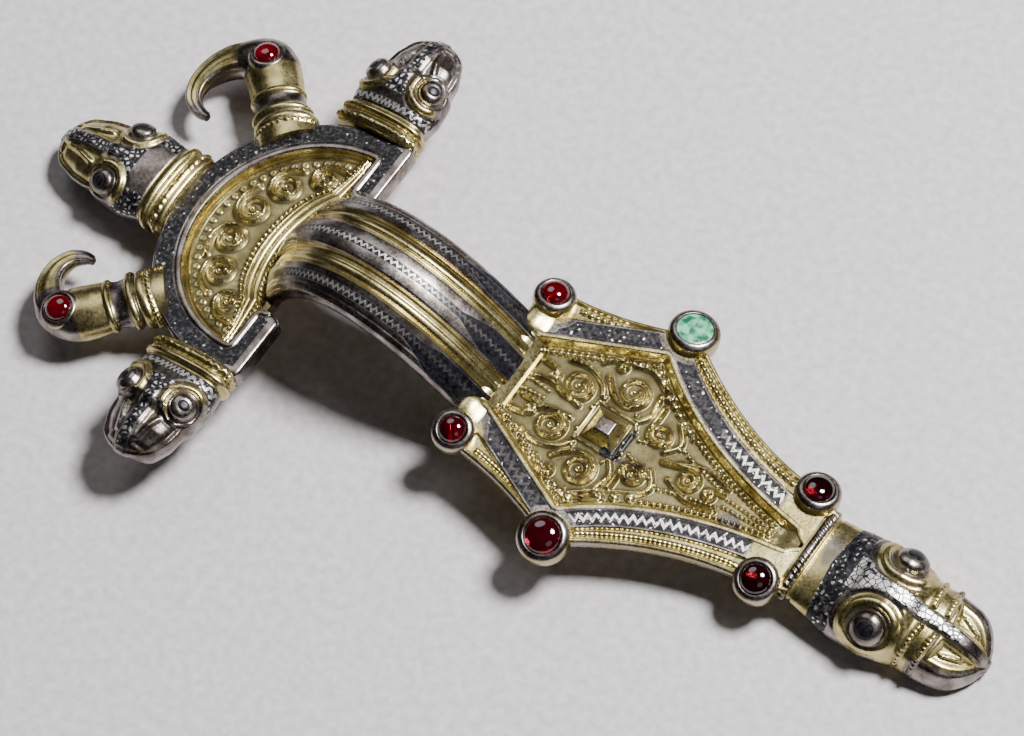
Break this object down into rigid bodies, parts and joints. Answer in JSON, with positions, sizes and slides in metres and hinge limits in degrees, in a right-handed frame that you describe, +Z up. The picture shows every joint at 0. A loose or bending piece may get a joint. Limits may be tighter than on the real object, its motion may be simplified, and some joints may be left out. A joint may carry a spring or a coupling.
{
  "type": "fibula brooch",
  "caption": "Radiate-headed bow brooch: half-round head plate with animal and bird knobs, arched bow, lozenge foot plate and animal-head end.",
  "frame": {"origin": "middle of the underside of the brooch's bounding box, on the surface it lies on", "axes": "+X from the head plate to the foot's animal head, +Y to the brooch's left, +Z up"},
  "size_m": [0.1218, 0.0614, 0.0184],
  "materials": {
    "silver_gilt": "worn fire gilding on cast silver, with niello bands",
    "garnet": "polished cabochon",
    "green_stone": "dull, weathered"
  },
  "bodies": {
    "root": {"brooch_body": "silver_gilt", "garnet_bow_left": "garnet", "garnet_bow_right": "garnet", "green_stone_side_left": "green_stone", "garnet_side_right": "garnet", "garnet_end_left": "garnet", "garnet_end_right": "garnet", "garnet_bird_eye_left": "garnet", "garnet_bird_eye_right": "garnet"}
  },
  "joints": []
}
